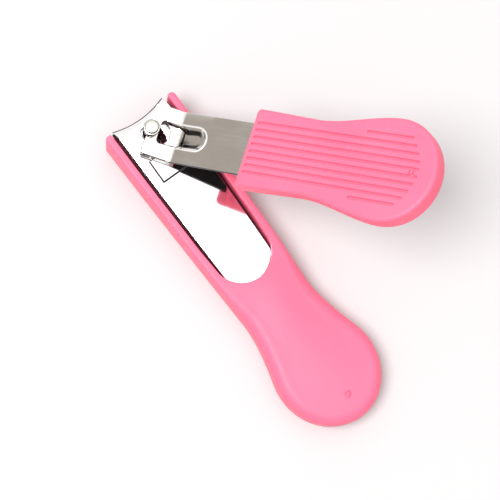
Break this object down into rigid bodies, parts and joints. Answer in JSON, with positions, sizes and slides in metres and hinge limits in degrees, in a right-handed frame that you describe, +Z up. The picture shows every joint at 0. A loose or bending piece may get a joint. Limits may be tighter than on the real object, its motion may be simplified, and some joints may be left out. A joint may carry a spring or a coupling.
{
  "type": "lever nail clipper",
  "caption": "Lever nail clipper with sprung steel jaws in a moulded plastic case and a swivelling lever with a ribbed plastic grip, lever raised and swung out.",
  "frame": {"origin": "where the lever pin's axis meets the case's flat underside", "axes": "+Y along the case towards the jaws, +X to the right, +Z up from the underside; the lever is swung out over the +X wall"},
  "size_m": [0.0526, 0.0851, 0.0489],
  "materials": {
    "case_plastic": "moulded pink plastic, satin gloss",
    "grip_plastic": "moulded pink plastic, satin gloss, ribbed on top",
    "arm_steel": "mirror-bright plated spring steel",
    "lever_steel": "plated steel with fine lengthwise streaks and rolled edges",
    "pin_steel": "bright plated steel"
  },
  "bodies": {
    "case_body": {"case": "case_plastic", "upper_arm": "arm_steel", "arm_rivet": "pin_steel"},
    "lower_arm_body": {"lower_arm": "arm_steel"},
    "pin_body": {"lever_pin": "pin_steel"},
    "lever_body": {"lever": "lever_steel", "lever_grip": "grip_plastic"}
  },
  "joints": [
    {"name": "jaw_close", "type": "hinge", "parent": "case_body", "child": "lower_arm_body", "pos_m": [0, -0.0564, 0.00325], "axis": [1, 0, 0], "range_deg": [0, 2.54], "stiffness_Nm_per_rad": 28},
    {"name": "lever_swivel", "type": "hinge", "parent": "lower_arm_body", "child": "pin_body", "pos_m": [0, 0, 0], "axis": [0, 0, 1], "continuous": true},
    {"name": "lever_press", "type": "hinge", "parent": "pin_body", "child": "lever_body", "pos_m": [0.00052, -0.00073, 0.01173], "axis": [0.8161, 0.5779, 0], "range_deg": [0, 29]}
  ],
  "couplings": [
    {"joint": "jaw_close", "follows": "lever_press", "ratio": 0.087586}
  ]
}
